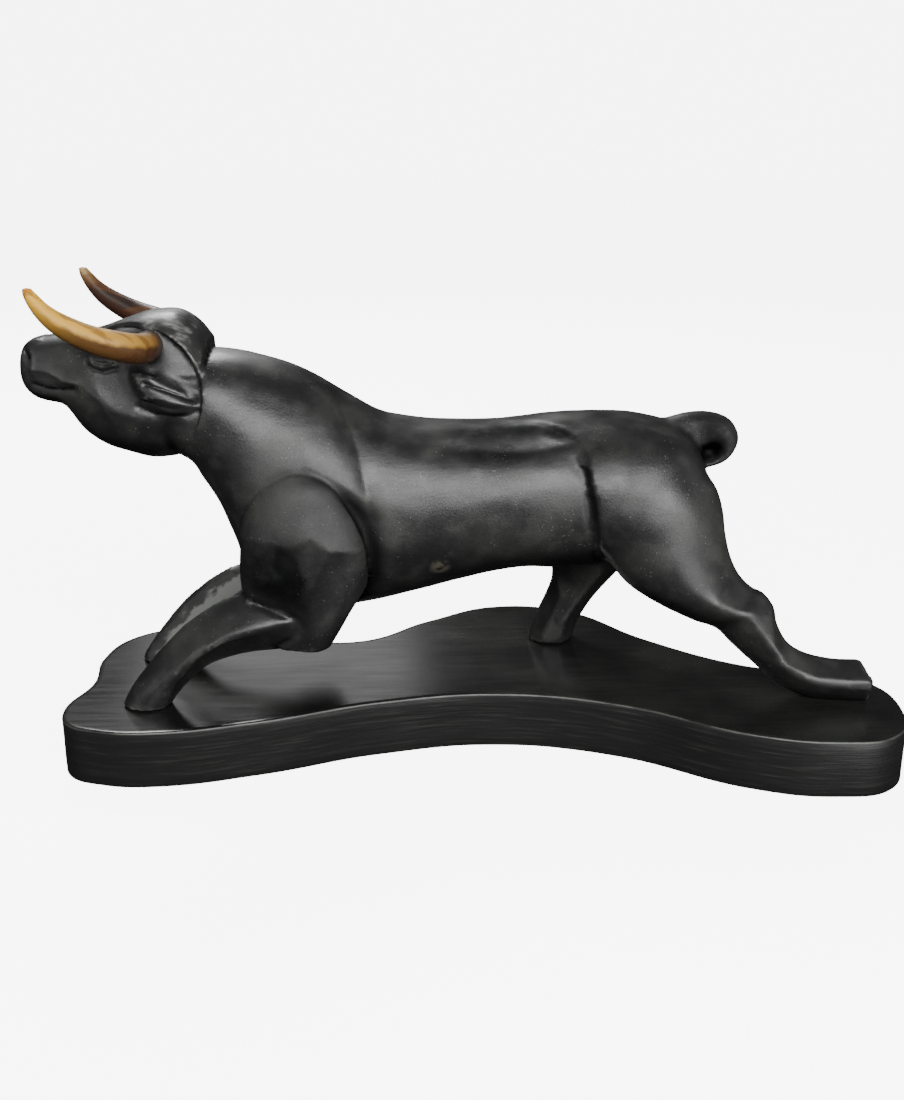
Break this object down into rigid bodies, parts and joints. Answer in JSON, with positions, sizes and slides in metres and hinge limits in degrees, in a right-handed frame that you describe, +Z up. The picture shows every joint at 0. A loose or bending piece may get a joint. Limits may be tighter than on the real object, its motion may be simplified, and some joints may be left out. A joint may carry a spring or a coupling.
{
  "type": "bull sculpture",
  "caption": "Carved black wooden bull in a low charging pose, with separate horns, on a curved-outline wooden plinth.",
  "frame": {"origin": "middle of the plinth's underside", "axes": "+X along the bull towards its hind foot, -X the way it faces, +Y towards its right side, +Z up"},
  "size_m": [0.4682, 0.2022, 0.2571],
  "materials": {
    "ebonised_wood": "carved wood, ebonised and rubbed to a satin sheen, slightly dusty, worn on its edges",
    "plinth_wood": "sawn board, black satin paint with the grain showing through, rubbed pale along the top arris",
    "horn": null
  },
  "bodies": {
    "root": {"bull": "ebonised_wood", "plinth": "plinth_wood", "left_horn": "horn", "right_horn": "horn"}
  },
  "joints": []
}
